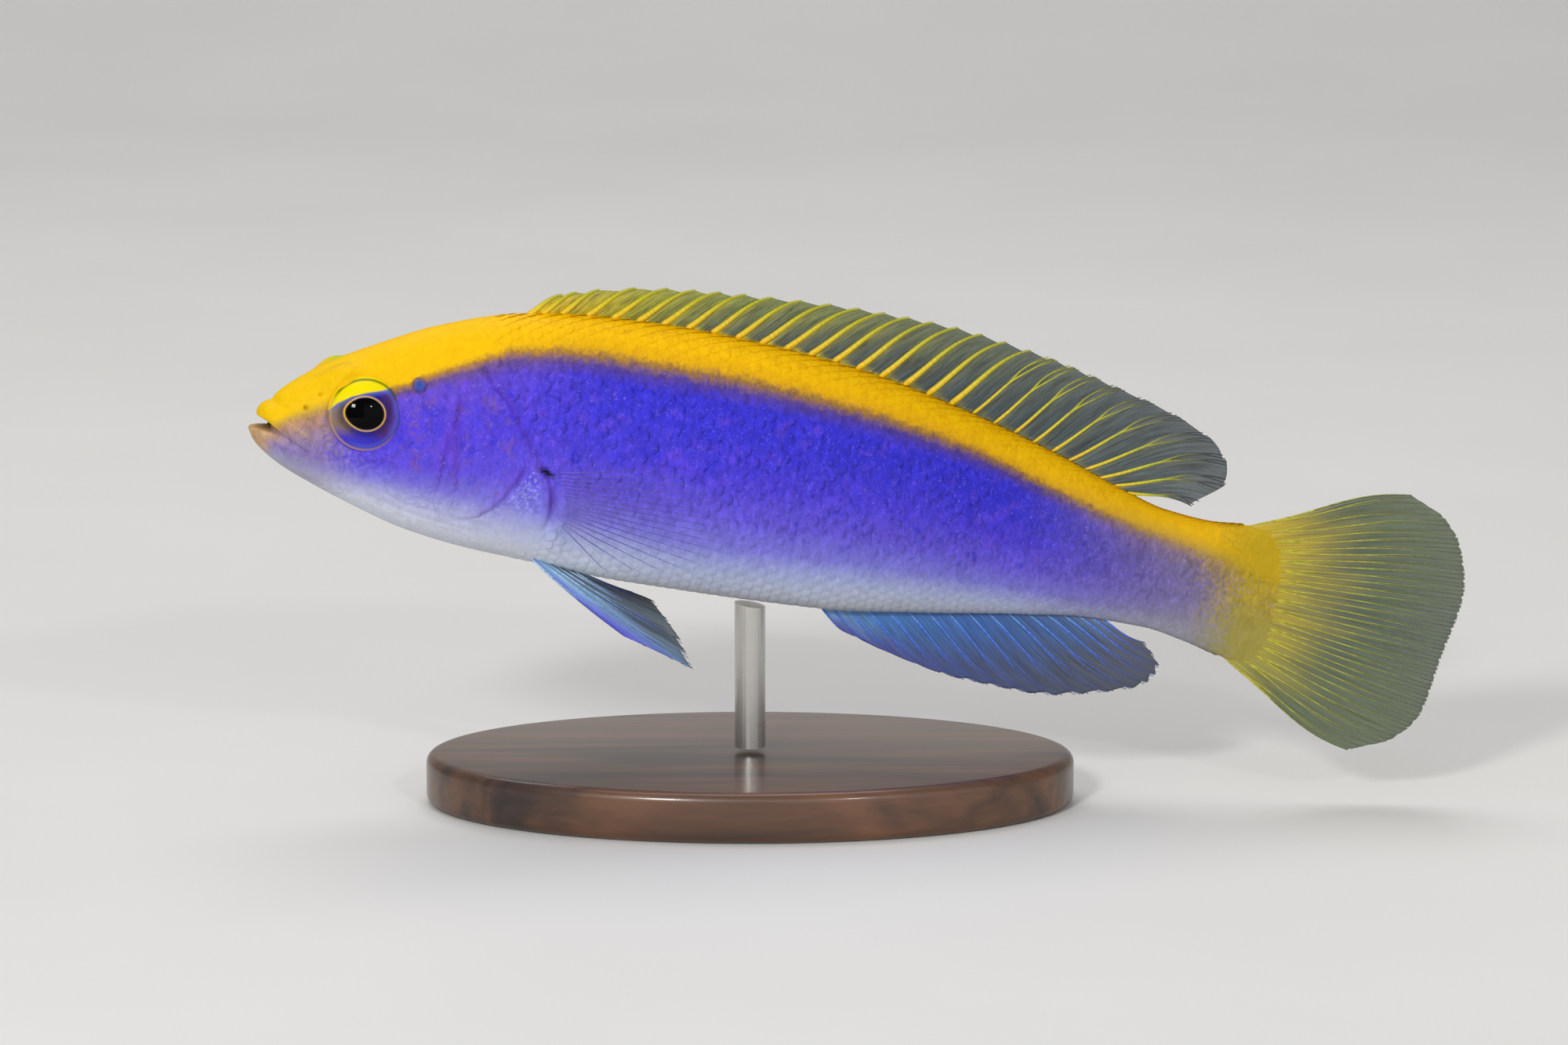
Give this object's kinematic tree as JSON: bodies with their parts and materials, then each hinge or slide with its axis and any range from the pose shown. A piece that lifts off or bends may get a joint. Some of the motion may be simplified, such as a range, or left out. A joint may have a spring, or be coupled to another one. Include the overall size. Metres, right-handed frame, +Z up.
{
  "type": "model fish on a display stand",
  "caption": "Life-size still model of a sunrise dottyback, a slim violet reef fish with a yellow back, swimming nose-up over a small oval wooden stand.",
  "frame": {"origin": "Centre of the underside of the stand's oval base, on the surface that it stands on.", "axes": "+X runs towards the fish's tail along the base's long axis, +Y towards the fish's right side, +Z up. The fish's nose is at -X, raised, and its head turns towards -Y."},
  "size_m": [0.0702, 0.022, 0.0308],
  "materials": {
    "head_skin": "satin violet skin, yellow over the top of the head",
    "jaw_skin": "satin pale lavender skin",
    "gill_cover_skin_left": "satin violet skin",
    "gill_cover_skin_right": "satin violet skin",
    "eye_left": "wet gloss, black pupil in a thin gold ring",
    "eye_right": "wet gloss, black pupil in a thin gold ring",
    "trunk_skin": "satin scaled skin, violet below a yellow back",
    "tail_stalk_skin": "satin scaled skin, greyish pink to yellow",
    "dorsal_fin_skin": "translucent membrane with yellow rays",
    "anal_fin_skin": "translucent blue membrane with blue rays",
    "tail_fin_skin": "translucent membrane with yellow-olive rays",
    "pectoral_skin_left": "almost clear membrane with fine violet rays",
    "pectoral_skin_right": "almost clear membrane with fine violet rays",
    "pelvic_skin_left": "pale blue membrane with a blue front edge",
    "pelvic_skin_right": "pale blue membrane with a blue front edge",
    "base_dark_wood": "dark stained wood, satin varnish",
    "rod_steel": "brushed steel"
  },
  "bodies": {
    "root": {"head": "head_skin", "lower_jaw": "jaw_skin", "gill_cover_left": "gill_cover_skin_left", "gill_cover_right": "gill_cover_skin_right", "eye_left": "eye_left", "eye_right": "eye_right", "trunk": "trunk_skin", "tail_stalk": "tail_stalk_skin", "dorsal_fin": "dorsal_fin_skin", "anal_fin": "anal_fin_skin", "tail_fin": "tail_fin_skin", "pectoral_fin_left": "pectoral_skin_left", "pectoral_fin_right": "pectoral_skin_right", "pelvic_fin_left": "pelvic_skin_left", "pelvic_fin_right": "pelvic_skin_right", "stand_base": "base_dark_wood", "stand_rod": "rod_steel"}
  },
  "joints": []
}
